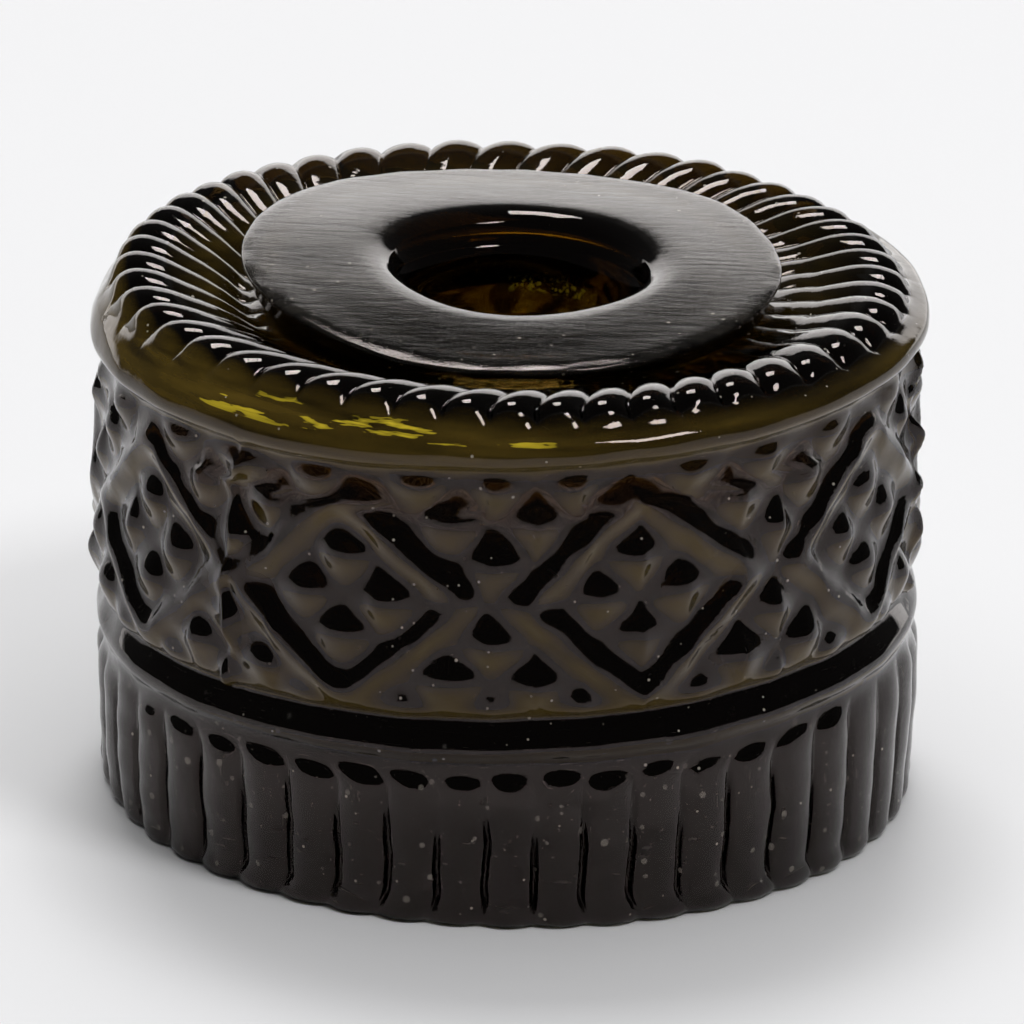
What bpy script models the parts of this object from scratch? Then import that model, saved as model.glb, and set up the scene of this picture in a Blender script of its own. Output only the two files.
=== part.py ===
"""A small mould-blown glass inkwell: a patterned hollow body, a flat disc mouth laid on its neck, and the
ring of glass that the pontil rod left under its base. Metres, +Z up, origin under the middle of the base.
"""

import math

import bmesh
import bpy
import numpy as np

MM = 0.001

# Driving dimensions.
BODY_RADIUS = 29.0 * MM
BASE_EDGE_RADIUS = 27.3 * MM
BASE_RING_INNER_RADIUS = 21.5 * MM
BASE_HOLLOW_HEIGHT = 2.6 * MM
RIB_BAND_BOTTOM = 1.2 * MM
RIB_BAND_TOP = 11.2 * MM
RIB_CREST_RADIUS = 28.4 * MM
RIB_DEPTH = 0.55 * MM
RIB_TAPER = 0.3 * MM
BEAD_RADIUS = 28.6 * MM
BEAD_HEIGHT = 13.2 * MM
BEAD_HALF_HEIGHT = 0.7 * MM
GROOVE_RADIUS = 27.7 * MM
BAND_BOTTOM = 15.5 * MM
GROOVE_SLOPE = 0.7 * MM
BAND_TOP = 32.7 * MM
BAND_RADIUS = 28.3 * MM
SHOULDER_HEIGHT = 34.3 * MM
RIM_EDGE_HEIGHT = 35.1 * MM
RIM_EDGE_THICKNESS = 0.8 * MM
RIM_EDGE_INSET = 0.2 * MM
RING_OUTER_RADIUS = 27.2 * MM
RING_INNER_RADIUS = 20.2 * MM
RING_CREST_RADIUS = 25.1 * MM
RING_CREST_HEIGHT = 37.4 * MM
RING_INNER_FALL = 0.8 * MM
RING_OUTER_FALL = 0.4 * MM
RING_FOOT_HEIGHT = 35.9 * MM
CHANNEL_HEIGHT = 34.7 * MM
CHANNEL_WIDTH = 3.0 * MM
NECK_RADIUS = 16.4 * MM
NECK_HEIGHT = 36.1 * MM
NECK_BORE_RADIUS = 11.0 * MM
BORE_CHAMFER = 0.8 * MM
WELL_FOOT_RADIUS = 20.0 * MM
WELL_TOP_RADIUS = 24.0 * MM
WELL_CORNER = 3.0 * MM
WELL_FLOOR_HEIGHT = 8.2 * MM
WELL_ROOF_HEIGHT = 32.0 * MM
WELL_DOME = 1.0 * MM
DISC_RADIUS = 18.6 * MM
DISC_TOP_HEIGHT = 37.7 * MM
DISC_EDGE = 0.7 * MM
DISC_EDGE_ROUND = 0.2 * MM
THROAT_RADIUS = 7.6 * MM
THROAT_BOTTOM = 30.0 * MM
THROAT_LIP = 1.0 * MM
THROAT_EDGE = 0.5 * MM
FUNNEL_RADIUS = 12.0 * MM
FUNNEL_DEPTH = 3.0 * MM
FIT_GAP = 0.3 * MM
NECK_PLAY = 0.1 * MM
PONTIL_RADIUS = 7.0 * MM
PONTIL_THICKNESS = 1.3 * MM

# The pattern. The mould has three leaves, each with three large diamonds.
MOULD_LEAVES = 3
FIRST_SEAM = 79.5
DIAMONDS_FROM_SEAM = (17.5, 60.0, 102.5)
DIAMOND_HALF_WIDTH = 17.5
DIAMOND_HALF_HEIGHT = 7.3 * MM
DIAMOND_CENTRE_HEIGHT = 23.6 * MM
DIAMOND_RIDGE = 0.22
LATTICE_ANGLE = 7.5
LATTICE_HEIGHT = 3.34 * MM
RELIEF_HEIGHT = 0.7 * MM
LOZENGE_SHARE = 0.8
RIB_COUNT = 48
STEPS_PER_RIB = 3
SWIRL = 12.0
GADROON_DEPTH = 0.45 * MM

# How far this piece is out of true: the body's bands climb towards +X, and the disc leans to the front.
BAND_LEAN = math.radians(2.1)
DISC_LEAN = math.radians(2.2)
DISC_ROLL = math.radians(0.6)
DISC_SHIFT = -0.5 * MM

BODY_STEPS = RIB_COUNT * STEPS_PER_RIB
WELL_STEPS = 48
DISC_STEPS = 72
PONTIL_STEPS = 24
ROWS_PER_HALF_DIAMOND = 7
CUTTER_MARGIN = 2.0 * MM


def clear_scene():
    for thing in list(bpy.data.objects):
        bpy.data.objects.remove(thing, do_unlink=True)


def new_collection(name):
    group = bpy.data.collections.new(name)
    bpy.context.scene.collection.children.link(group)
    return group


def glass(name, colour, roughness):
    material = bpy.data.materials.new(name)
    material.use_nodes = True
    shader = material.node_tree.nodes["Principled BSDF"]
    shader.inputs["Base Color"].default_value = (*colour, 1.0)
    shader.inputs["Roughness"].default_value = roughness
    shader.inputs["Metallic"].default_value = 0.0
    shader.inputs["IOR"].default_value = 1.5
    shader.inputs["Transmission Weight"].default_value = 0.6
    return material


def turned(name, group, profile, steps, closed=False):
    """A solid of revolution about Z from (radius, height) points that run down its outer side."""
    mesh = bpy.data.meshes.new(name)
    points = [(radius, 0.0, height) for radius, height in profile]
    edges = [(i, i + 1) for i in range(len(points) - 1)]
    if closed:
        edges.append((len(points) - 1, 0))
    mesh.from_pydata(points, edges, [])
    line = bpy.data.objects.new(name + "_line", mesh)
    group.objects.link(line)
    screw = line.modifiers.new("turn", "SCREW")
    screw.steps = steps
    screw.render_steps = steps
    screw.use_merge_vertices = True
    screw.merge_threshold = 0.00002
    bpy.context.view_layer.update()
    graph = bpy.context.evaluated_depsgraph_get()
    solid = bpy.data.meshes.new_from_object(line.evaluated_get(graph), depsgraph=graph)
    bpy.data.objects.remove(line)
    bpy.data.meshes.remove(mesh)
    solid.name = name
    piece = bpy.data.objects.new(name, solid)
    group.objects.link(piece)
    return piece


def make_cutter(piece):
    piece.hide_render = True
    piece.display_type = "WIRE"


def cut(piece, cutter):
    boolean = piece.modifiers.new("cut_" + cutter.name, "BOOLEAN")
    boolean.operation = "DIFFERENCE"
    boolean.solver = "EXACT"
    boolean.object = cutter


def arc(centre, radius, start, end, count):
    """Points (radius, height) along an arc about a centre, from one angle to another in degrees."""
    angles = np.radians(np.linspace(start, end, count))
    return [(centre[0] + radius * math.cos(a), centre[1] + radius * math.sin(a)) for a in angles]


def from_front(x, y):
    """The angle round the body in degrees: 0 at the front, -Y, and 90 at +X."""
    return math.degrees(math.atan2(x, -y))


def lozenges(across, up):
    """A field of small pyramids, one at each odd point of a lattice, each from 0 at its edge to 1 on top."""
    p = (across + up) / 2
    q = (across - up) / 2
    return 1 - 2 * max(abs(p - math.floor(p) - 0.5), abs(q - math.floor(q) - 0.5))


def diamond_relief(angle, height):
    """The raised pattern of the wide band, from 0 on the ground to 1 on the diamonds' ridges."""
    leaf = (angle - FIRST_SEAM) % (360 / MOULD_LEAVES)
    centre = min(DIAMONDS_FROM_SEAM, key=lambda place: abs(leaf - place))
    aside = leaf - centre
    up = height - DIAMOND_CENTRE_HEIGHT
    inward = 1 - abs(aside) / DIAMOND_HALF_WIDTH - abs(up) / DIAMOND_HALF_HEIGHT
    ridge = max(0.0, 1 - abs(inward) / DIAMOND_RIDGE)
    pitch = 360 / (MOULD_LEAVES * len(DIAMONDS_FROM_SEAM))
    lattice_aside = aside if inward > 0 else abs(aside) - pitch / 2
    small = lozenges(lattice_aside / LATTICE_ANGLE, up / LATTICE_HEIGHT)
    return max(ridge, LOZENGE_SHARE * small)


def lean(x, height):
    """How far a point rises because the body's bands aren't level."""
    heights = (0.0, RIB_BAND_TOP, SHOULDER_HEIGHT, RING_FOOT_HEIGHT)
    leans = (0.0, BAND_LEAN, BAND_LEAN, 0.0)
    return x * math.tan(float(np.interp(height, heights, leans)))


def neck_tilt(x, y):
    """The plane that the disc lies on, as a height above the level one."""
    return y * math.tan(DISC_LEAN) - x * math.tan(DISC_ROLL)


def body_profile():
    top_tip = DIAMOND_CENTRE_HEIGHT + DIAMOND_HALF_HEIGHT
    low_tip = DIAMOND_CENTRE_HEIGHT - DIAMOND_HALF_HEIGHT
    band_heights = [BAND_TOP, *np.linspace(top_tip, low_tip, 2 * ROWS_PER_HALF_DIAMOND + 1), BAND_BOTTOM]
    return [
        (0.0, NECK_HEIGHT),
        (NECK_RADIUS, NECK_HEIGHT),
        (NECK_RADIUS + FIT_GAP, CHANNEL_HEIGHT),
        (NECK_RADIUS + CHANNEL_WIDTH, CHANNEL_HEIGHT),
        (RING_INNER_RADIUS, (RING_FOOT_HEIGHT + 2 * CHANNEL_HEIGHT) / 3),
        ((RING_INNER_RADIUS + RING_CREST_RADIUS) / 2, RING_CREST_HEIGHT - RING_INNER_FALL),
        (RING_CREST_RADIUS, RING_CREST_HEIGHT),
        ((RING_CREST_RADIUS + RING_OUTER_RADIUS) / 2, RING_CREST_HEIGHT - RING_OUTER_FALL),
        (RING_OUTER_RADIUS, RING_FOOT_HEIGHT),
        ((RING_OUTER_RADIUS + BODY_RADIUS) / 2, RIM_EDGE_HEIGHT),
        (BODY_RADIUS - RIM_EDGE_INSET, SHOULDER_HEIGHT),
        (BODY_RADIUS - RIM_EDGE_INSET, SHOULDER_HEIGHT - RIM_EDGE_THICKNESS),
        *[(BAND_RADIUS, height) for height in band_heights],
        (GROOVE_RADIUS, BAND_BOTTOM - GROOVE_SLOPE),
        (GROOVE_RADIUS, BEAD_HEIGHT + BEAD_HALF_HEIGHT),
        (BEAD_RADIUS, BEAD_HEIGHT),
        (RIB_CREST_RADIUS, BEAD_HEIGHT - BEAD_HALF_HEIGHT),
        (RIB_CREST_RADIUS, RIB_BAND_TOP),
        (RIB_CREST_RADIUS - RIB_TAPER, RIB_BAND_BOTTOM),
        (BASE_EDGE_RADIUS, 0.0),
        (0.0, 0.0),
    ]


def shape_body(mesh):
    """Presses the mould's pattern into the turned body and sets it as far out of true as the real one."""
    for vertex in mesh.vertices:
        x, y, z = vertex.co
        radius = math.hypot(x, y)
        angle = from_front(x, y) - 90 + FIRST_SEAM
        step = round((angle - FIRST_SEAM) * BODY_STEPS / 360)
        in_valley = step % STEPS_PER_RIB == 0
        on_top = z > SHOULDER_HEIGHT + 0.2 * MM
        if on_top:
            turn = (BODY_RADIUS - 2 * MM - radius) / (RING_OUTER_RADIUS - RING_INNER_RADIUS)
            angle += SWIRL * min(1.0, max(0.0, turn))
        if on_top and in_valley and RING_INNER_RADIUS < radius < RING_OUTER_RADIUS - 0.1 * MM:
            z -= GADROON_DEPTH
        if BAND_BOTTOM < z < BAND_TOP and radius > GROOVE_RADIUS:
            radius += RELIEF_HEIGHT * diamond_relief(angle, z)
        if in_valley and RIB_BAND_BOTTOM - 0.1 * MM < z < RIB_BAND_TOP + 0.1 * MM:
            radius -= RIB_DEPTH
        x = radius * math.sin(math.radians(angle))
        y = -radius * math.cos(math.radians(angle))
        z += lean(x, z)
        if radius < NECK_RADIUS + 0.1 * MM and z > CHANNEL_HEIGHT:
            z += neck_tilt(x, y)
        vertex.co = (x, y, z)


def split_along_ridges(mesh):
    """Splits each patch of the wide band along its higher diagonal, so that the diamonds' ridges stay sharp."""
    work = bmesh.new()
    work.from_mesh(mesh)
    lean_allowance = BODY_RADIUS * math.tan(BAND_LEAN)
    for face in list(work.faces):
        corners = list(face.verts)
        heights = [corner.co.z for corner in corners]
        in_band = min(heights) > BAND_BOTTOM - lean_allowance and max(heights) < BAND_TOP + lean_allowance
        if len(corners) != 4 or not in_band:
            continue
        reach = [math.hypot(corner.co.x, corner.co.y) for corner in corners]
        if reach[0] + reach[2] > reach[1] + reach[3]:
            bmesh.utils.face_split(face, corners[0], corners[2])
        else:
            bmesh.utils.face_split(face, corners[1], corners[3])
    work.to_mesh(mesh)
    work.free()


def well_cutter(group):
    """The hollow that holds the ink, with the neck's bore above it."""
    floor_corner = (WELL_FOOT_RADIUS - WELL_CORNER, WELL_FLOOR_HEIGHT + WELL_CORNER)
    roof_corner = (WELL_TOP_RADIUS - WELL_CORNER, WELL_ROOF_HEIGHT - WELL_CORNER)
    open_height = DISC_TOP_HEIGHT + CUTTER_MARGIN
    profile = [
        (0.0, open_height),
        (NECK_BORE_RADIUS, open_height),
        (NECK_BORE_RADIUS, WELL_ROOF_HEIGHT + BORE_CHAMFER),
        (NECK_BORE_RADIUS + 2 * BORE_CHAMFER, WELL_ROOF_HEIGHT),
        *arc(roof_corner, WELL_CORNER, 90, 0, 4),
        *arc(floor_corner, WELL_CORNER, 0, -90, 4),
        (0.0, WELL_FLOOR_HEIGHT + WELL_DOME),
    ]
    cutter = turned("well_hollow", group, profile, WELL_STEPS)
    make_cutter(cutter)
    return cutter


def base_cutter(group):
    """The shallow pushed-up hollow under the base, which leaves a flat ring to stand on."""
    profile = [
        (0.0, BASE_HOLLOW_HEIGHT),
        (BASE_RING_INNER_RADIUS * 0.5, BASE_HOLLOW_HEIGHT * 0.85),
        (BASE_RING_INNER_RADIUS * 0.9, BASE_HOLLOW_HEIGHT * 0.3),
        (BASE_RING_INNER_RADIUS, 0.0),
        (BASE_RING_INNER_RADIUS, -CUTTER_MARGIN),
        (0.0, -CUTTER_MARGIN),
    ]
    cutter = turned("base_hollow", group, profile, WELL_STEPS)
    make_cutter(cutter)
    return cutter


def make_body(parts, cutters):
    body = turned("glass_body", parts, body_profile(), BODY_STEPS)
    shape_body(body.data)
    split_along_ridges(body.data)
    body.data.materials.append(glass("body_glass", (0.035, 0.026, 0.006), 0.06))
    cut(body, well_cutter(cutters))
    cut(body, base_cutter(cutters))
    return body


def disc_profile():
    """A flat disc with a thin edge and an undercut rim, and a throat that lines the neck's bore."""
    seat = NECK_HEIGHT + FIT_GAP
    throat_outer = NECK_BORE_RADIUS - FIT_GAP - abs(DISC_SHIFT) - NECK_PLAY
    funnel_curve = [
        (
            FUNNEL_RADIUS - (FUNNEL_RADIUS - THROAT_RADIUS) * math.sin(turn),
            DISC_TOP_HEIGHT - FUNNEL_DEPTH * (1 - math.cos(turn)),
        )
        for turn in np.linspace(math.pi / 2, 0, 6)
    ]
    return [
        *funnel_curve,
        (DISC_RADIUS - DISC_EDGE_ROUND, DISC_TOP_HEIGHT),
        (DISC_RADIUS, DISC_TOP_HEIGHT - DISC_EDGE_ROUND),
        (DISC_RADIUS - DISC_EDGE_ROUND / 2, DISC_TOP_HEIGHT - DISC_EDGE),
        (NECK_RADIUS + DISC_EDGE_ROUND, seat),
        (throat_outer, seat),
        (throat_outer, THROAT_BOTTOM + THROAT_LIP),
        (throat_outer - THROAT_EDGE, THROAT_BOTTOM),
        (THROAT_RADIUS + THROAT_EDGE, THROAT_BOTTOM),
        (THROAT_RADIUS, THROAT_BOTTOM + THROAT_LIP),
    ]


def make_disc(parts):
    disc = turned("mouth_disc", parts, disc_profile(), DISC_STEPS, closed=True)
    for vertex in disc.data.vertices:
        x, y, z = vertex.co
        if math.hypot(x, y) < NECK_BORE_RADIUS:
            z += neck_tilt(x, y) * 0.5
            vertex.co = (x, y, z)
        else:
            vertex.co = (x, y, z + neck_tilt(x, y))
    disc.data.materials.append(glass("disc_glass", (0.045, 0.038, 0.022), 0.35))
    disc.location.x = DISC_SHIFT
    return disc


def make_pontil_ring(parts):
    """A low broken ring of glass under the base, its crest and its outline uneven."""
    half = PONTIL_THICKNESS / 2
    middle = BASE_HOLLOW_HEIGHT * 0.85 - FIT_GAP - half
    profile = arc((PONTIL_RADIUS, middle), half, 150, -210, 9)[:-1]
    ring = turned("pontil_ring", parts, profile, PONTIL_STEPS, closed=True)
    for vertex in ring.data.vertices:
        x, y, z = vertex.co
        angle = math.atan2(y, x)
        grow = 1 + 0.06 * math.sin(3 * angle + 0.7) + 0.04 * math.sin(7 * angle)
        fall = min(0.0, z - middle) * 0.3 * math.sin(5 * angle + 1.1)
        vertex.co = (x * grow, y * grow, z + fall)
    ring.data.materials.append(glass("pontil_glass", (0.05, 0.042, 0.02), 0.4))
    return ring


def finish_shading(parts):
    for piece in parts.objects:
        piece.data.shade_smooth()
        piece.data.set_sharp_from_angle(angle=math.radians(35))


clear_scene()
part_group = new_collection("inkwell")
cutter_group = new_collection("cutters")
make_body(part_group, cutter_group)
make_disc(part_group)
make_pontil_ring(part_group)
finish_shading(part_group)
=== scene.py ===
"""Looks of the mould-blown glass inkwell: its patterned body, the worn disc mouth, the pontil ring under
the base, and a pale studio table. Everything is in metres in the CAD model's frame, the front is -Y, and
the shapes are worked out in millimetres and degrees.
"""

import math

import bpy
import numpy as np
from mathutils import Matrix, Vector


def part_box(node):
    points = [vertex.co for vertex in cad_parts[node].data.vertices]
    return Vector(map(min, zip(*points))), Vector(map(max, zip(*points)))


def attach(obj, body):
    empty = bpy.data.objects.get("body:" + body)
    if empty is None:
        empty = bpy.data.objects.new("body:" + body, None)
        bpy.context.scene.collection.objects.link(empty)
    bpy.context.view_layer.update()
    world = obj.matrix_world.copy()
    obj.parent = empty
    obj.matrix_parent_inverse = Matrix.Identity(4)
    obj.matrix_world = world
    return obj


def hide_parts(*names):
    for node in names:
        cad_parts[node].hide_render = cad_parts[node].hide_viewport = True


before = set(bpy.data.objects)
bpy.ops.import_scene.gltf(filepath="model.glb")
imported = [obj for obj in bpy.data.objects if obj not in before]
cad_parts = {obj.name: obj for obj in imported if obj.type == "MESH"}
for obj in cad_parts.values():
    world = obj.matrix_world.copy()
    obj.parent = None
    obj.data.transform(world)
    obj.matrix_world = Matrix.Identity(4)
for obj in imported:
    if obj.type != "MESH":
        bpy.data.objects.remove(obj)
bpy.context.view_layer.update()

MM = 0.001
disc_low, disc_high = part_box("mouth_disc")
DISC_CENTRE_X = (disc_high.x + disc_low.x) / 2

# The mould pattern, in degrees round the body from the front and millimetres of height.
FIRST_SEAM = 79.5
LEAF = 120.0
DIAMONDS_FROM_SEAM = (18.0, 60.0, 102.0)
DIAMOND_HALF_WIDTH = 17.2
DIAMOND_HALF_HEIGHT = 7.2
DIAMOND_CENTRE_HEIGHT = 23.45
LATTICE_ANGLE = 6.0
LATTICE_HEIGHT = 2.85
RIBS = 48
RIB_ANGLE = 360 / RIBS

# How far the parts of the pattern stand out, and how wide they are, in millimetres.
RIDGE_HEIGHT = 1.1
RIDGE_WIDTH = 0.85
PYRAMID_HEIGHT = 1.25
KNOB_HEIGHT = 0.8
KNOB_DROP = 2.6
FIN_HEIGHT = 0.85
FIN_WIDTH = 0.65
RIB_HEIGHT = 0.43
GADROON_HEIGHT = 0.5
GADROON_SINK = 0.28
INSIDE_SHARE = 0.35

# Where the parts of the pattern are, in millimetres of height or of radius.
BAND_LOW = 15.6
BAND_HIGH = 32.9
BAND_RADIUS = 27
SIDE_RADIUS = 25
RIB_TOP = 11.0
RIB_ZONE = 12.5
RIM_ZONE = 30
ROPE_START = (17.4, 19.8)
ROPE_END = (26.9, 27.7)
ROPE_SWELL_RADIUS = 26.4
ROPE_SWELL_WIDTH = 1.0
ROPE_SWELL = 0.4
SWIRL_START = 26.0
SWIRL_RUN = 5.4
SWIRL = 5.0
NECK_RADIUS = 17.5

# How the blown glass departs from a true turning.
PITCH_SWING = 2.0
BAND_CLIMB = 0.037
BODY_SHIFT = 0.55
STAND_CLEAR = 0.02
DISC_LEAN = math.radians(2.2)
DISC_ROLL = math.radians(0.6)

# The mesh's columns within one rib, in degrees: closer together beside the folds.
COLUMNS = np.array([0, 0.3, 0.62, 1.1, 1.85, 2.75, 3.75, 4.75, 5.65, 6.4, 6.88, 7.2])
CURVE_STEPS = 24

random = np.random.default_rng(1820)


# ---------------------------------------------------------------------------------------------------------
# Small tools


def smooth(low, high, value):
    """0 below low, 1 above high, and a smooth step between them."""
    t = np.clip((value - low) / (high - low), 0, 1)
    return t * t * (3 - 2 * t)


def window(value, low, high, edge):
    """1 between low and high, falling to 0 within edge on both sides."""
    return smooth(low - edge, low + edge, value) * (1 - smooth(high - edge, high + edge, value))


def waves(angle, height, count, finest, seed):
    """A gentle unevenness round the body, about -1 to 1, that closes on itself round the circle."""
    pick = np.random.default_rng(seed)
    total = 0.0
    for _ in range(count):
        turns = pick.integers(1, finest + 1)
        climb = pick.uniform(-0.06, 0.06) * finest
        phase = pick.uniform(0, 2 * math.pi)
        total = total + np.sin(turns * np.radians(angle) + climb * height + phase)
    return total / math.sqrt(count)


def along(outline):
    """Rows of (radius, height) on a smooth curve through an outline's points. Each point also says how far
    apart the rows are near it."""
    points = np.array(outline, float)
    places = points[:, :2]
    steps = points[:, 2]
    padded = np.vstack([2 * places[0] - places[1], places, 2 * places[-1] - places[-2]])
    curve = []
    gaps = []
    for i in range(len(places) - 1):
        a, b, c, d = padded[i : i + 4]
        ta = 0.0
        tb = ta + math.sqrt(np.linalg.norm(b - a))
        tc = tb + math.sqrt(np.linalg.norm(c - b))
        td = tc + math.sqrt(np.linalg.norm(d - c))
        for t in np.linspace(tb, tc, CURVE_STEPS, endpoint=False):
            ab = ((tb - t) * a + (t - ta) * b) / (tb - ta)
            bc = ((tc - t) * b + (t - tb) * c) / (tc - tb)
            cd = ((td - t) * c + (t - tc) * d) / (td - tc)
            abc = ((tc - t) * ab + (t - ta) * bc) / (tc - ta)
            bcd = ((td - t) * bc + (t - tb) * cd) / (td - tb)
            curve.append(((tc - t) * abc + (t - tb) * bcd) / (tc - tb))
            gaps.append(np.interp(t, (tb, tc), steps[i : i + 2]))
    curve = np.array([*curve, places[-1]])
    lengths = np.linalg.norm(np.diff(curve, axis=0), axis=1)
    measure = np.concatenate([[0], np.cumsum(lengths / np.array(gaps))])
    rows = np.linspace(0, measure[-1], int(round(measure[-1])) + 1)
    return np.stack([np.interp(rows, measure, curve[:, k]) for k in (0, 1)], axis=1)


def softened(field, rows, columns):
    """A field over rows and columns, blurred by that many passes of a 1-2-1 filter each way."""
    for _ in range(columns):
        field = (np.roll(field, 1, 1) + 2 * field + np.roll(field, -1, 1)) / 4
    for _ in range(rows):
        field = np.concatenate([field[:1], (field[:-2] + 2 * field[1:-1] + field[2:]) / 4, field[-1:]])
    return field


def ring_mesh(name, grid, closed=False):
    """A smooth mesh from a grid of points, rows by columns, whose columns close round. Unless the rows
    close on themselves too, its first and last rows are capped by a fan to their middle."""
    rows, columns = grid.shape[:2]
    points = grid.reshape(-1, 3)
    first = np.arange(rows * columns).reshape(rows, columns)
    after = np.roll(first, -1, axis=1)
    if closed:
        upper, lower = first, np.roll(first, -1, axis=0)
        upper_after, lower_after = after, np.roll(after, -1, axis=0)
    else:
        upper, lower = first[:-1], first[1:]
        upper_after, lower_after = after[:-1], after[1:]
    quads = np.stack([upper, lower, lower_after, upper_after], axis=-1).reshape(-1, 4)
    faces = quads.tolist()
    if not closed:
        top, bottom = len(points), len(points) + 1
        points = np.vstack([points, grid[0].mean(0), grid[-1].mean(0)])
        faces += [[top, a, b] for a, b in zip(first[0].tolist(), after[0].tolist())]
        faces += [[bottom, b, a] for a, b in zip(first[-1].tolist(), after[-1].tolist())]
    mesh = bpy.data.meshes.new(name)
    mesh.from_pydata(points.tolist(), [], faces)
    mesh.validate()
    mesh.shade_smooth()
    piece = bpy.data.objects.new(name, mesh)
    bpy.context.scene.collection.objects.link(piece)
    return piece


def turn(radius, height, angle):
    """Points in metres from radius and height in millimetres and the angle from the front in degrees."""
    x = radius * np.sin(np.radians(angle))
    y = -radius * np.cos(np.radians(angle))
    return np.stack([x, y, height + 0 * x], axis=-1) * MM


# ---------------------------------------------------------------------------------------------------------
# The glass body

OUTLINE = [
    # radius, height, row spacing: from the neck out over the rim and down to the middle of the base
    (11.0, 35.8, 2.0),
    (15.6, 35.8, 1.2),
    (16.3, 35.2, 0.5),
    (16.9, 35.05, 0.5),
    (18.3, 35.1, 0.6),
    (19.4, 35.45, 0.5),
    (20.8, 35.95, 0.45),
    (22.4, 36.55, 0.42),
    (23.9, 37.05, 0.34),
    (25.3, 37.2, 0.32),
    (26.5, 36.85, 0.32),
    (27.3, 36.1, 0.34),
    (27.9, 35.5, 0.42),
    (28.5, 34.95, 0.42),
    (28.8, 34.3, 0.34),
    (28.8, 33.75, 0.3),
    (28.45, 33.25, 0.3),
    (27.85, 32.9, 0.36),
    (27.6, 24.0, 0.4),
    (27.85, 15.9, 0.36),
    (27.75, 15.45, 0.24),
    (27.45, 15.1, 0.26),
    (27.65, 14.6, 0.28),
    (28.1, 13.9, 0.28),
    (28.45, 13.3, 0.28),
    (28.4, 12.7, 0.28),
    (28.1, 12.2, 0.28),
    (28.05, 11.2, 0.3),
    (28.1, 9.4, 0.6),
    (27.9, 4.0, 0.8),
    (27.75, 1.4, 0.4),
    (27.75, 0.7, 0.26),
    (27.5, 0.15, 0.26),
    (26.9, 0.0, 0.6),
    (22.0, 0.02, 1.6),
    (19.5, 0.7, 3.0),
    (10.0, 2.1, 5.0),
    (1.0, 2.6, 3.0),
]

INLINE = [
    # from the middle of the well's floor out and up its wall to the neck's bore
    (1.0, 9.2, 5.0),
    (12.0, 8.6, 3.4),
    (17.5, 8.8, 2.0),
    (20.0, 10.5, 1.6),
    (21.2, 14.0, 2.2),
    (22.3, 20.0, 2.2),
    (23.6, 26.0, 2.0),
    (24.0, 29.4, 1.5),
    (22.8, 31.3, 1.2),
    (19.5, 32.0, 1.6),
    (14.0, 32.1, 2.0),
    (11.6, 32.4, 1.0),
    (11.0, 33.6, 1.2),
]


def lozenges(across, up):
    """A field of small pyramids, one at each odd point of a lattice, from 0 at their edges to 1 on top."""
    p = (across + up) / 2
    q = (across - up) / 2
    p = np.abs(p - np.floor(p) - 0.5)
    q = np.abs(q - np.floor(q) - 0.5)
    return 1 - 2 * np.maximum(p, q)


def from_nearest(angle, places):
    """How far each angle is from the nearest of some places."""
    offsets = np.stack([angle - place for place in places])
    nearest = np.abs(offsets).argmin(0)
    return np.take_along_axis(offsets, nearest[None], 0)[0]


def diamond_band(angle, height):
    """The relief of the wide band in millimetres over its ground: diamonds with raised outlines, small
    pyramids inside and between them, and a knob where two diamonds meet."""
    angle = angle + 0.55 * waves(angle, height, 5, 22, 3)
    height = height + 0.16 * waves(angle, height, 5, 26, 4)
    leaf = (angle - FIRST_SEAM) % LEAF
    first, second, third = DIAMONDS_FROM_SEAM
    aside = from_nearest(leaf, DIAMONDS_FROM_SEAM)
    between = from_nearest(leaf, (0.0, (first + second) / 2, (second + third) / 2, LEAF))
    up = height - DIAMOND_CENTRE_HEIGHT
    inward = 1 - np.abs(aside) / DIAMOND_HALF_WIDTH - np.abs(up) / DIAMOND_HALF_HEIGHT
    distance = np.abs(inward) / 0.174
    ridge = np.exp(-((distance / RIDGE_WIDTH) ** 2))
    inside = lozenges(aside / LATTICE_ANGLE, up / LATTICE_HEIGHT)
    outside = lozenges(between / LATTICE_ANGLE, up / LATTICE_HEIGHT)
    small = np.where(inward > 0, inside, outside)
    clear = smooth(0.5, 1.7, distance)
    pyramids = PYRAMID_HEIGHT * small * clear
    knob = np.exp(-((between / 3.2) ** 2) - ((up + KNOB_DROP) / 1.3) ** 2)
    top = 1 - smooth(31.7, 32.8, height)
    return np.maximum(np.maximum(RIDGE_HEIGHT * ridge, pyramids), KNOB_HEIGHT * knob) * top


def seam_ridge(angle, height):
    """The low uneven fins where the mould's leaves met."""
    off = (angle - FIRST_SEAM + LEAF / 2) % LEAF - LEAF / 2
    off = off + 0.9 * np.sin(height * 0.9) + 0.4 * np.sin(height * 2.3 + 1)
    fin = np.exp(-((off / FIN_WIDTH) ** 2))
    return FIN_HEIGHT * fin * (0.7 + 0.3 * np.sin(height * 1.7 + 0.6))


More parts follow.
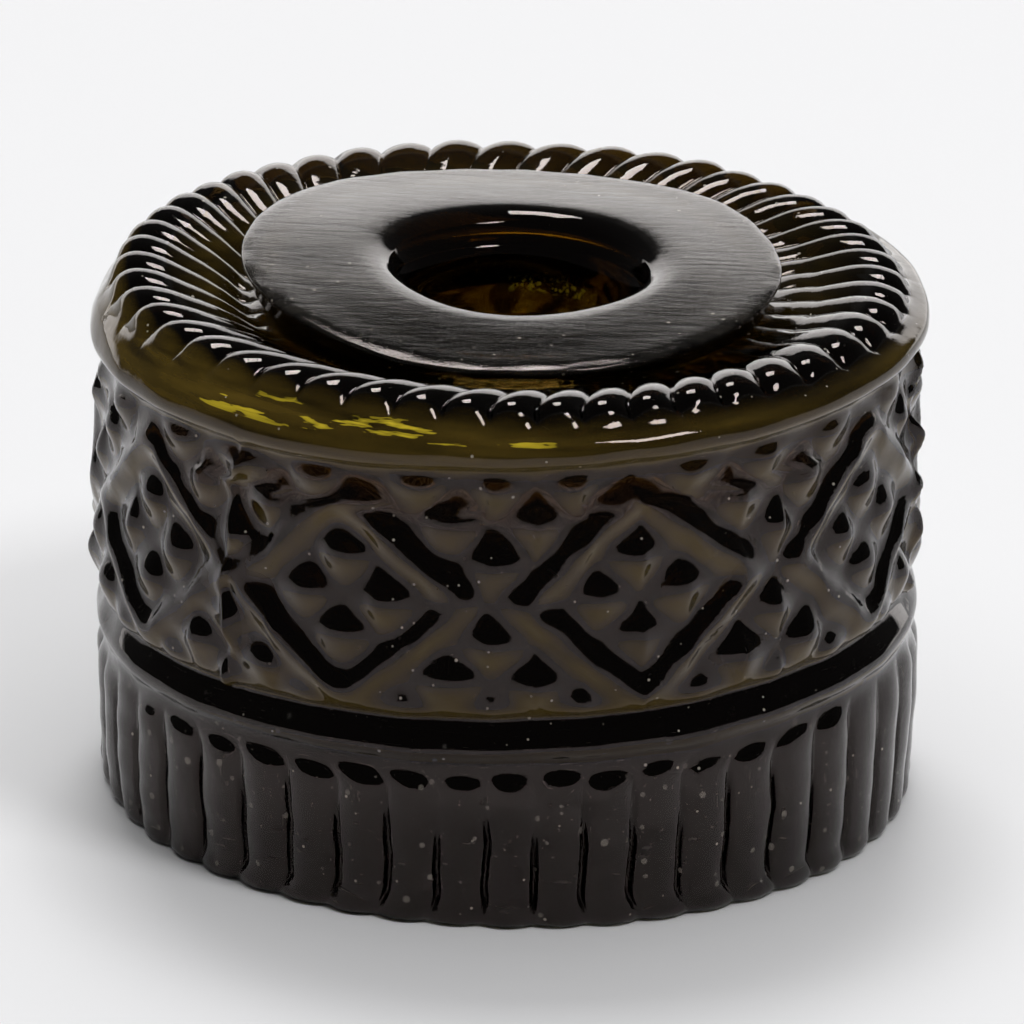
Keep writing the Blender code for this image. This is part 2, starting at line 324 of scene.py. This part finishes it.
def ribs(angle, height):
    """The upright ribs of the foot: low arches that are rounded off at their upper ends, with a sharp fold
    between them that opens towards the base."""
    t = (angle - FIRST_SEAM) / RIB_ANGLE
    index = np.floor(t + 1e-6).astype(int) % RIBS
    t = t - np.floor(t + 1e-6)
    near = np.minimum(t, 1 - t) * RIB_ANGLE
    tops = RIB_TOP + random.uniform(-0.25, 0.25, RIBS)[index]
    heights = random.uniform(0.95, 1.2, RIBS)[index]
    crown = 1 - (2 * t - 1) ** 2
    top = 1 - smooth(tops - 0.8, tops + 0.5, height)
    foot = smooth(-0.1, 0.35, height)
    fold_tops = random.uniform(6.0, 9.5, RIBS)
    fold_depths = random.uniform(0.45, 0.7, RIBS)
    beside = (index + (t > 0.5)) % RIBS
    fold = fold_depths[beside] * (1 - smooth(-1.0, 1.0, height - fold_tops[beside]))
    fold = fold * smooth(1.0, 2.2, height) * np.clip(1 - near / 0.5, 0, 1)
    return RIB_HEIGHT * heights * crown * top * foot, fold


def uneven_pitch(angle):
    """How far the ribs and the rim's ridges sit from an even spacing, in degrees."""
    return -PITCH_SWING * np.sin(np.radians(3 * (angle - 3)))


def wobble(angle, height):
    """How far the folds between the ribs wander sideways, in degrees."""
    index = np.round((angle - FIRST_SEAM) / RIB_ANGLE).astype(int) % RIBS
    phase = random.uniform(0, 6.28, RIBS)[index]
    size = random.uniform(0.05, 0.2, RIBS)[index]
    return size * (np.sin(height * 1.1 + phase) + 0.4 * np.sin(height * 2.9 + 2 * phase))


def gadroons(angle):
    """The slanted rope-like ribs of the rim, rounded between sharp valleys."""
    t = (angle - FIRST_SEAM) / RIB_ANGLE
    t = 2 * (t - np.floor(t + 1e-6)) - 1
    return GADROON_HEIGHT * (1 - t**2) ** 0.75 - GADROON_SINK


def settle(grid):
    """The blown body stands a little askew on its flat base: its bands climb towards +X by about two
    degrees, and everything above the ribs sits a touch towards -X."""
    x = grid[..., 0] / MM
    height = grid[..., 2] / MM
    slope = np.interp(height, (0.0, 11.0, 34.6, 36.2), (0.0, BAND_CLIMB, BAND_CLIMB, 0.0))
    grid[..., 2] += x * slope * MM
    grid[..., 0] -= BODY_SHIFT * smooth(6, 22, height) * MM
    return grid


def column_angles():
    """The angles of the body mesh's columns."""
    starts = FIRST_SEAM + np.arange(RIBS) * RIB_ANGLE
    return (starts[:, None] + COLUMNS[None]).ravel()


def outer_surface():
    """The outside of the body, from the neck over the rim and down to the middle of the base."""
    rows = along(OUTLINE)
    angle, radius = np.meshgrid(column_angles(), rows[:, 0])
    _, height = np.meshgrid(angle[0], rows[:, 1])
    tangent = np.gradient(rows, axis=0)
    tangent /= np.linalg.norm(tangent, axis=1)[:, None]
    out_r = -tangent[:, 1][:, None]
    out_z = tangent[:, 0][:, None]

    high = height > RIM_ZONE
    side = radius > SIDE_RADIUS
    foot = (height < RIB_ZONE) * side
    swirl = np.where(high, SWIRL * np.clip((SWIRL_START - radius) / SWIRL_RUN, 0, 1.4), 0)
    on_band = radius > BAND_RADIUS
    relief = diamond_band(angle, height) * window(height, BAND_LOW, BAND_HIGH, 0.25) * on_band
    relief = softened(relief, 3, 3)
    fins = seam_ridge(angle, height) * window(height, BAND_LOW - 0.2, BAND_HIGH + 0.1, 0.5) * on_band
    relief += softened(fins, 1, 1)
    rib, fold = ribs(angle, height)
    relief += softened(rib * foot, 1, 0)
    relief -= fold * foot
    rope = gadroons(angle) * high * smooth(*ROPE_START, radius) * (1 - smooth(*ROPE_END, radius))
    swell = np.exp(-(((radius - ROPE_SWELL_RADIUS) / ROPE_SWELL_WIDTH) ** 2))
    rope = rope * (1 + ROPE_SWELL * swell)
    relief += softened(rope, 1, 0)
    uneven = 0.10 * waves(angle, height, 7, 9, 11) + 0.035 * waves(angle, height, 9, 40, 12)
    relief += uneven * smooth(20, 27, radius) * smooth(0.3, 3.0, height)

    radius = radius + relief * out_r
    below = (1 - smooth(10.0, 12.0, height)) * smooth(0.3, 2.0, height) * side
    pitched = below + high * smooth(17.0, 20.0, radius)
    angle = angle + swirl + wobble(angle, height) * below + uneven_pitch(angle) * pitched
    height = np.maximum(height + relief * out_z, STAND_CLEAR)
    grid = turn(radius, height, angle)
    neck = high * (radius < NECK_RADIUS)
    grid[..., 2] += neck * disc_plane(grid[..., 0], grid[..., 1])
    return settle(grid)


def disc_plane(x, y):
    """The lean of the plane that the disc lies on, as a height."""
    return y * math.tan(DISC_LEAN) - x * math.tan(DISC_ROLL)


def inner_surface():
    """The wall of the well, which follows the pattern outside faintly."""
    rows = along(INLINE)[::-1]
    angle, radius = np.meshgrid(column_angles(), rows[:, 0])
    _, height = np.meshgrid(angle[0], rows[:, 1])
    wall = smooth(8, 12, height) * (1 - smooth(27, 30, height))
    relief = diamond_band(angle, height) * wall * window(height, 14.0, 29.0, 1.5)
    relief = softened(relief, 1, 10)
    radius = radius + INSIDE_SHARE * relief + 0.12 * waves(angle, height, 7, 8, 21) * smooth(14, 20, radius)
    height = height + 0.15 * waves(angle, radius, 6, 5, 22) * (height < 8) * smooth(2, 8, radius)
    return settle(turn(radius, height, angle))


def make_body():
    outer = outer_surface()
    inner = inner_surface()
    grid = np.concatenate([inner[::-1], outer])
    return ring_mesh("glass_body_blown", grid)


# ---------------------------------------------------------------------------------------------------------
# The disc

DISC_OUTLINE = [
    # radius, height over the disc's face, row spacing: from the throat's foot up the funnel, out over the
    # face, and back under to the throat's foot
    (8.8, -7.8, 0.4),
    (8.0, -7.5, 0.3),
    (7.5, -6.0, 0.4),
    (7.3, -4.2, 0.4),
    (7.4, -2.6, 0.35),
    (7.75, -1.6, 0.3),
    (8.4, -0.85, 0.25),
    (9.3, -0.28, 0.25),
    (10.4, -0.06, 0.3),
    (12.0, 0.0, 0.6),
    (15.5, 0.0, 0.6),
    (18.27, 0.0, 0.16),
    (18.46, -0.08, 0.08),
    (18.5, -0.32, 0.12),
    (18.35, -0.62, 0.15),
    (17.6, -0.95, 0.4),
    (16.4, -1.25, 0.5),
    (14.0, -1.5, 1.0),
    (10.6, -1.5, 0.8),
    (10.1, -1.8, 0.4),
    (10.0, -3.4, 0.8),
    (9.9, -7.2, 0.4),
    (9.5, -7.7, 0.4),
]
DISC_COLUMNS = 288
DISC_LEVEL = 37.1
DISC_DOME = 0.0034
DISC_RISE = 1.3
MOUTH_SHIFT_X = 0.6
MOUTH_SHIFT_Y = -0.7
MOUTH_STRETCH = 0.03


def make_disc():
    rows = along(DISC_OUTLINE)
    angle = np.arange(DISC_COLUMNS) * 360 / DISC_COLUMNS
    angle, radius = np.meshgrid(angle, rows[:, 0])
    _, height = np.meshgrid(angle[0], rows[:, 1])
    rim = smooth(13, 18.4, radius)
    radius = radius + rim * 0.16 * waves(angle, 0 * height, 6, 7, 31)
    radius = radius + (1 - smooth(9, 13, radius)) * 0.15 * waves(angle, height, 4, 4, 32)
    face = smooth(9.5, 12.5, radius) * (height > -0.3)
    height = height + 0.04 * waves(angle, radius, 6, 6, 33) * face
    worn_edge = 0.05 * (1 + waves(angle, 0 * height, 6, 30, 34)) * smooth(17.6, 18.4, radius)
    height = height - rim * face * worn_edge
    grid = turn(radius, height + DISC_LEVEL, angle)
    bore = (1 - smooth(9.0, 14.0, radius)) * smooth(-4.5, -1.0, height)
    grid[..., 0] += (MOUTH_SHIFT_X * MM + MOUTH_STRETCH * grid[..., 0]) * bore
    grid[..., 1] += MOUTH_SHIFT_Y * MM * bore
    across = grid[..., 1] / MM
    grid[..., 2] += (DISC_RISE - DISC_DOME * across**2) * MM * (height > -0.9)
    grid[..., 2] += disc_plane(grid[..., 0], grid[..., 1])
    grid[..., 0] += DISC_CENTRE_X
    return ring_mesh("mouth_disc_worn", grid, closed=True)


# ---------------------------------------------------------------------------------------------------------
# The pontil ring

PONTIL_RADIUS = 7.0
PONTIL_HALF_WIDTH = 0.6
PONTIL_COLUMNS = 144
PONTIL_ROWS = 20


def make_pontil():
    low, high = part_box("pontil_ring")
    around = np.arange(PONTIL_COLUMNS) * 360 / PONTIL_COLUMNS
    section = np.arange(PONTIL_ROWS) * 360 / PONTIL_ROWS
    angle, turned_by = np.meshgrid(around, section)
    thick = PONTIL_HALF_WIDTH + 0.12 * waves(angle, 0 * turned_by, 5, 9, 41)
    middle = PONTIL_RADIUS + 0.35 * waves(angle, 0 * turned_by, 4, 5, 42)
    rough = 0.05 * waves(angle, np.radians(turned_by) * 2, 8, 40, 43)
    radius = middle + (thick + rough) * np.cos(np.radians(turned_by))
    level = (low.z + high.z) / 2 / MM
    height = level - (thick + rough) * 0.95 * np.sin(np.radians(turned_by))
    return ring_mesh("pontil_ring_broken", turn(radius, height, angle), closed=True)


# ---------------------------------------------------------------------------------------------------------
# Materials


def new_material(name):
    material = bpy.data.materials.new(name)
    material.use_nodes = True
    tree = material.node_tree
    return material, tree, tree.nodes["Principled BSDF"]


def add(tree, kind, **values):
    node = tree.nodes.new(kind)
    for key, value in values.items():
        setattr(node, key, value)
    return node


def noise(tree, coords, scale, detail=4.0, roughness=0.55):
    node = add(tree, "ShaderNodeTexNoise")
    node.inputs["Scale"].default_value = scale
    node.inputs["Detail"].default_value = detail
    node.inputs["Roughness"].default_value = roughness
    tree.links.new(coords, node.inputs["Vector"])
    return node.outputs["Fac"]


def ramp(tree, value, low, high, start=0.0, end=1.0):
    node = add(tree, "ShaderNodeMapRange", clamp=True)
    node.inputs["From Min"].default_value = low
    node.inputs["From Max"].default_value = high
    node.inputs["To Min"].default_value = start
    node.inputs["To Max"].default_value = end
    tree.links.new(value, node.inputs["Value"])
    return node.outputs["Result"]


def maths(tree, operation, a, b):
    node = add(tree, "ShaderNodeMath", operation=operation)
    for socket, value in zip(node.inputs, (a, b)):
        if isinstance(value, (int, float)):
            socket.default_value = value
        else:
            tree.links.new(value, socket)
    return node.outputs[0]


def bump(tree, shader, height, strength, distance):
    node = add(tree, "ShaderNodeBump")
    node.inputs["Strength"].default_value = strength
    node.inputs["Distance"].default_value = distance
    tree.links.new(height, node.inputs["Height"])
    tree.links.new(node.outputs["Normal"], shader.inputs["Normal"])


def product(tree, first, *others):
    """All the values multiplied together."""
    for value in others:
        first = maths(tree, "MULTIPLY", first, value)
    return first


def split(tree, vector):
    """The x, y and z of a vector."""
    node = add(tree, "ShaderNodeSeparateXYZ")
    tree.links.new(vector, node.inputs[0])
    return node.outputs


def from_axis(tree, coords):
    """The distance from the inkwell's upright axis."""
    level = add(tree, "ShaderNodeVectorMath", operation="MULTIPLY")
    level.inputs[1].default_value = (1, 1, 0)
    tree.links.new(coords, level.inputs[0])
    reach = add(tree, "ShaderNodeVectorMath", operation="LENGTH")
    tree.links.new(level.outputs[0], reach.inputs[0])
    return reach.outputs["Value"]


def stretched(tree, coords, scale, turned=0.0):
    """The coordinates scaled along each axis, which draws a texture out into streaks."""
    node = add(tree, "ShaderNodeMapping")
    node.inputs["Rotation"].default_value = (0, 0, turned)
    node.inputs["Scale"].default_value = scale
    tree.links.new(coords, node.inputs["Vector"])
    return node.outputs[0]


def painted(tree, ground, colour, mask):
    """A colour laid over the ground, which is a colour or a socket, where the mask is."""
    mix = add(tree, "ShaderNodeMix", data_type="RGBA")
    mix.inputs[7].default_value = colour
    if isinstance(ground, tuple):
        mix.inputs[6].default_value = ground
    else:
        tree.links.new(ground, mix.inputs[6])
    tree.links.new(mask, mix.inputs[0])
    return mix.outputs[2]


def region(tree, place, edges):
    """1 inside a region and 0 outside it."""
    return product(tree, *[ramp(tree, place[axis], out, full) for axis, out, full in edges])


def absorb(tree, colour, density):
    """Dark glass: light dies away along its path, slower in the colours that are given more of."""
    node = add(tree, "ShaderNodeVolumeAbsorption")
    node.inputs["Color"].default_value = (*colour, 1)
    node.inputs["Density"].default_value = density
    output = next(n for n in tree.nodes if n.type == "OUTPUT_MATERIAL")
    tree.links.new(node.outputs["Volume"], output.inputs["Volume"])


GLASS_TINT = (0.56, 0.465, 0.0)
GLASS_DENSITY = 900.0
DISC_DENSITY = GLASS_DENSITY * 1.8
GLASS_IOR = 1.5
GLASS_SHINE = (0.86, 0.72, 0.68, 1)
GLASS_SKIN = (1.0, 0.96, 0.88, 1)
SPECK = (0.50, 0.45, 0.38, 1)
# Painted glow: the gold painted into the body's colour where light from above comes through the glass.
PAINTED_GLOW_GOLD = (0.105, 0.068, 0.010, 1)
GLINT = (0.62, 0.47, 0.03, 1)

# Specks: how many cells there are to a metre, the share of cells with a speck, and its size in cells.
SEEDS = (800, 0.85, 0.22)
GRAINS = (1400, 0.2, 0.17)
PITS = (1300, 0.35, 0.17)

# Where light that comes through the glass is painted into its colour as a glow or as glints, and where the
# specks and the disc's wear lie, in metres. Each edge of a region is an axis, the place where the region
# has faded out, and the place where it is full.
SHOULDER_HEIGHTS = (0.0322, 0.0340)
SHOULDER_REACH = (0.0268, 0.0280)
TROUGH_REACH = (0.0245, 0.0215)
TROUGH_EDGES = (("Y", -0.012, -0.002), ("Z", 0.0335, 0.0345))
TROUGH_GLOW = 0.32
BAND_HEIGHTS = (0.0118, 0.0160)
BAND_GLOW = 0.6
GLOW_FROM_RIGHT_TO_LEFT = (0.012, -0.024, 0.42, 1.0)
SHOULDER_GLINT_EDGES = (
    ("Z", 0.0344, 0.0349),
    ("Z", 0.0361, 0.0357),
    ("X", 0.004, -0.003),
    ("Y", -0.017, -0.021),
)
THROAT_GLINT_EDGES = (
    ("Z", 0.0326, 0.0331),
    ("Z", 0.0340, 0.0336),
    ("X", -0.0012, 0.0002),
    ("X", 0.0056, 0.0046),
    ("Y", 0.001, 0.003),
)
THROAT_GLINT_STRENGTH = 0.65
SEED_HEIGHTS = (0.014, 0.009)
DISC_FACE_REACH = (0.0092, 0.0112)
# The disc's face is rough and scuffed most at the back and least at the front. The pale scuff marks are
# real wear, and their fading to the front is painted shade.
DISC_WEAR_AND_SHADE_FROM_BACK_TO_FRONT = (-0.004, -0.015, 1.0, 0.3)


def specks(tree, coords, scale, share, size):
    """A mask of small round specks: 1 inside them and 0 outside. Only a share of the cells has one."""
    cells = add(tree, "ShaderNodeTexVoronoi")
    cells.inputs["Scale"].default_value = scale
    tree.links.new(coords, cells.inputs["Vector"])
    pick = add(tree, "ShaderNodeSeparateColor")
    tree.links.new(cells.outputs["Color"], pick.inputs[0])
    chosen = maths(tree, "LESS_THAN", pick.outputs[0], share)
    extent = product(tree, pick.outputs[1], size)
    inside = maths(tree, "LESS_THAN", cells.outputs["Distance"], extent)
    return product(tree, chosen, inside)


def glass(name, density):
    """Dark olive glass without its surface: the material, its tree, its shader and its coordinates."""
    material, tree, shader = new_material(name)
    coords = add(tree, "ShaderNodeTexCoord").outputs["Object"]
    shader.inputs["IOR"].default_value = GLASS_IOR
    shader.inputs["Specular Tint"].default_value = GLASS_SHINE
    absorb(tree, GLASS_TINT, density)
    return material, tree, shader, coords


def gathered(tree, shader, glints):
    """Lay bright gold over a surface where light is gathered."""
    colour = shader.inputs["Base Color"].links[0].from_socket
    clear = shader.inputs["Transmission Weight"].links[0].from_socket
    lit = painted(tree, colour, GLINT, ramp(tree, glints, 0.0, 0.05))
    tree.links.new(lit, shader.inputs["Base Color"])
    rest = maths(tree, "SUBTRACT", 1.0, glints)
    tree.links.new(product(tree, clear, rest), shader.inputs["Transmission Weight"])


def painted_glow(tree, coords, place):
    """Painted glow: olive and gold painted into the colour where light from above comes through the body.
    It lies along the shoulder and in the trough inside the rim in long streaks, brighter towards the left,
    and on the faces of the relief that look down."""
    reach = from_axis(tree, coords)
    streaks = noise(tree, stretched(tree, coords, (0.3, 0.3, 3.0)), 420, 4)
    streaks = ramp(tree, streaks, 0.30, 0.72, 0.25, 1.0)
    leftward = ramp(tree, place["X"], *GLOW_FROM_RIGHT_TO_LEFT)
    shoulder = ramp(tree, place["Z"], *SHOULDER_HEIGHTS)
    shoulder = product(tree, shoulder, ramp(tree, reach, *SHOULDER_REACH), streaks, leftward)
    trough = product(tree, ramp(tree, reach, *TROUGH_REACH, 0.0, TROUGH_GLOW), streaks, leftward)
    trough = product(tree, trough, region(tree, place, TROUGH_EDGES))
    facing = split(tree, add(tree, "ShaderNodeNewGeometry").outputs["Normal"])
    under = ramp(tree, facing["Z"], -0.06, -0.40)
    band = product(tree, ramp(tree, place["Z"], *BAND_HEIGHTS), under, BAND_GLOW)
    return maths(tree, "MAXIMUM", maths(tree, "MAXIMUM", shoulder, trough), band)


def shoulder_glints(tree, coords, place):
    """Thin bright lines of light gathered under the rim at the front left."""
    lines = noise(tree, stretched(tree, coords, (0.35, 0.35, 3.4)), 600, 3)
    return product(tree, ramp(tree, lines, 0.60, 0.68), region(tree, place, SHOULDER_GLINT_EDGES))


def throat_glints(tree, coords, place):
    """Small bright marks of light gathered low on the back of the throat."""
    flecks = ramp(tree, noise(tree, coords, 2600, 2), 0.54, 0.62)
    return product(tree, flecks, region(tree, place, THROAT_GLINT_EDGES), THROAT_GLINT_STRENGTH)


def body_glass():
    material, tree, shader, coords = glass("body_glass", GLASS_DENSITY)
    place = split(tree, coords)
    gold = painted_glow(tree, coords, place)
    low_down = ramp(tree, place["Z"], *SEED_HEIGHTS)
    seeds = product(tree, specks(tree, coords, *SEEDS), low_down, 0.3)
    grains = product(tree, specks(tree, coords, *GRAINS), 0.6)
    mask = maths(tree, "MAXIMUM", seeds, grains)
    # Painted glow: gold painted into the colour, and the glass made less clear, where light from above
    # comes through the body.
    glow = painted(tree, GLASS_SKIN, PAINTED_GLOW_GOLD, ramp(tree, gold, 0.0, 0.02))
    speckled = painted(tree, glow, SPECK, ramp(tree, mask, 0.0, 0.1))
    tree.links.new(speckled, shader.inputs["Base Color"])
    opaque = maths(tree, "MAXIMUM", gold, mask)
    tree.links.new(maths(tree, "SUBTRACT", 1.0, opaque), shader.inputs["Transmission Weight"])
    gathered(tree, shader, shoulder_glints(tree, coords, place))
    fine = product(tree, noise(tree, coords, 900, 3), 0.2)
    broad = noise(tree, coords, 200, 2)
    bump(tree, shader, maths(tree, "ADD", fine, broad), 0.6, 0.00015)
    worn = ramp(tree, noise(tree, coords, 420, 5), 0.45, 0.8, 0.012, 0.12)
    tree.links.new(worn, shader.inputs["Roughness"])
    return material


def disc_glass():
    """The disc's glass: clear and dark in the throat, with a satin, scuffed face. Its roughness and pale
    scuff marks fade towards the front, and that fading of the scuff marks is painted shade which darkens
    the front.
    """
    material, tree, shader, coords = glass("disc_glass", DISC_DENSITY)
    place = split(tree, coords)
    face = ramp(tree, from_axis(tree, coords), *DISC_FACE_REACH)
    wear_and_shade = product(tree, face, ramp(tree, place["Y"], *DISC_WEAR_AND_SHADE_FROM_BACK_TO_FRONT))
    streaks = noise(tree, stretched(tree, coords, (0.25, 1.6, 1), 0.35), 900, 6, 0.7)
    patches = noise(tree, coords, 120, 3)
    worn = maths(tree, "ADD", product(tree, streaks, 0.6), product(tree, patches, 0.4))
    worn = product(tree, ramp(tree, worn, 0.38, 0.62, 0.05, 0.22), wear_and_shade)
    tree.links.new(maths(tree, "ADD", worn, 0.02), shader.inputs["Roughness"])
    pits = product(tree, specks(tree, coords, *PITS), face, 0.5)
    # Pale scuff marks from wear, thinned towards the front as painted shade.
    scuffs_and_shade = product(tree, ramp(tree, streaks, 0.40, 0.68, 0.005, 0.085), wear_and_shade)
    mask = maths(tree, "MAXIMUM", pits, scuffs_and_shade)
    marked_and_shaded = painted(tree, GLASS_SKIN, SPECK, ramp(tree, mask, 0.0, 0.02))
    tree.links.new(marked_and_shaded, shader.inputs["Base Color"])
    tree.links.new(maths(tree, "SUBTRACT", 1.0, mask), shader.inputs["Transmission Weight"])
    gathered(tree, shader, throat_glints(tree, coords, place))
    bump(tree, shader, product(tree, streaks, face), 0.7, 0.00005)
    return material


def pontil_glass():
    material, tree, shader, coords = glass("pontil_glass", GLASS_DENSITY)
    shader.inputs["Base Color"].default_value = GLASS_SKIN
    shader.inputs["Transmission Weight"].default_value = 1.0
    chipped = noise(tree, coords, 1500, 5)
    tree.links.new(ramp(tree, chipped, 0.3, 0.7, 0.05, 0.4), shader.inputs["Roughness"])
    bump(tree, shader, chipped, 0.8, 0.0002)
    return material


# ---------------------------------------------------------------------------------------------------------
# The studio

TABLE_HALF = 1.6
TABLE_PAINT = (0.80, 0.80, 0.812, 1)
SWEEP_COLOUR = (1.0, 0.985, 0.97, 1)
SWEEP_BRIGHTNESS = 1.9
ROOM_BRIGHTNESS = 0.05

# The sweep's edges, on the sphere of directions round the object.
SWEEP_BACK = (0.0, 0.1)
SWEEP_TOP = (0.478, 0.428)
SWEEP_SIDE = (0.876, 0.776)
SWEEP_FLARE = 1.2

CAMERA_ELEVATION = math.radians(21.34)
CAMERA_ROLL = math.radians(1.51)
CAMERA_DISTANCE = 0.700
CAMERA_TARGET = Vector((-0.00002, 0, 0.01923))
CAMERA_LENS = 356.0


def make_floor():
    half = TABLE_HALF
    mesh = bpy.data.meshes.new("table")
    corners = [(-half, -half, 0), (half, -half, 0), (half, half, 0), (-half, half, 0)]
    mesh.from_pydata(corners, [], [(0, 1, 2, 3)])
    floor = bpy.data.objects.new("table", mesh)
    bpy.context.scene.collection.objects.link(floor)
    material, _, shader = new_material("table_paint")
    shader.inputs["Base Color"].default_value = TABLE_PAINT
    shader.inputs["Roughness"].default_value = 0.65
    floor.data.materials.append(material)


def softbox(name, direction, distance, width, height, power):
    """A rectangular area light that stands in a direction from the object and faces it."""
    lamp = bpy.data.lights.new(name, "AREA")
    lamp.shape = "RECTANGLE"
    lamp.size = width
    lamp.size_y = height
    lamp.energy = power
    light = bpy.data.objects.new(name, lamp)
    bpy.context.scene.collection.objects.link(light)
    way = Vector(direction).normalized()
    light.location = way * distance
    light.rotation_euler = way.to_track_quat("Z", "Y").to_euler()
    return light


def make_world():
    """A dark room with a bright white sweep behind the object, which is wider lower down."""
    world = bpy.data.worlds.new("studio")
    bpy.context.scene.world = world
    world.use_nodes = True
    tree = world.node_tree
    background = tree.nodes["Background"]
    x, y, z = split(tree, add(tree, "ShaderNodeTexCoord").outputs["Generated"])
    behind = ramp(tree, y, *SWEEP_BACK)
    aside = maths(tree, "ADD", maths(tree, "ABSOLUTE", x, 0), product(tree, z, SWEEP_FLARE))
    narrow = ramp(tree, aside, *SWEEP_SIDE)
    low = ramp(tree, z, *SWEEP_TOP)
    sweep = product(tree, behind, narrow, low, SWEEP_BRIGHTNESS)
    strength = maths(tree, "ADD", sweep, ROOM_BRIGHTNESS)
    tree.links.new(strength, background.inputs["Strength"])
    background.inputs["Color"].default_value = SWEEP_COLOUR


def make_camera():
    camera_data = bpy.data.cameras.new("camera")
    camera = bpy.data.objects.new("camera", camera_data)
    bpy.context.scene.collection.objects.link(camera)
    back = Vector((0, -math.cos(CAMERA_ELEVATION), math.sin(CAMERA_ELEVATION)))
    camera.location = CAMERA_TARGET + back * CAMERA_DISTANCE
    facing = back.to_track_quat("Z", "Y")
    roll = Matrix.Rotation(CAMERA_ROLL, 3, "Z").to_quaternion()
    camera.rotation_mode = "QUATERNION"
    camera.rotation_quaternion = facing @ roll
    camera_data.sensor_width = 36.0
    camera_data.lens = CAMERA_LENS
    camera_data.clip_start = 0.01
    bpy.context.scene.camera = camera


def make_studio():
    make_world()
    make_floor()
    softbox("back_softbox", (-0.05, 0.40, 0.92), 0.9, 0.26, 0.26, 2.8)
    softbox("front_softbox", (0.42, -0.38, 0.82), 0.9, 0.20, 0.20, 2.2)
    ceiling = softbox("ceiling_bounce", (0.0, 0.1, 1.0), 1.4, 2.0, 2.0, 15.2)
    ceiling.visible_glossy = False
    ceiling.visible_transmission = False
    make_camera()
    bpy.context.scene.view_settings.view_transform = "Standard"


# ---------------------------------------------------------------------------------------------------------

make_studio()
for build, node, slot, material in (
    (make_body, "glass_body", "body_glass", body_glass),
    (make_disc, "mouth_disc", "disc_glass", disc_glass),
    (make_pontil, "pontil_ring", "pontil_glass", pontil_glass),
):
    piece = build()
    piece.data.materials.append(material())
    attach(piece, "root")
    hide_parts(node)
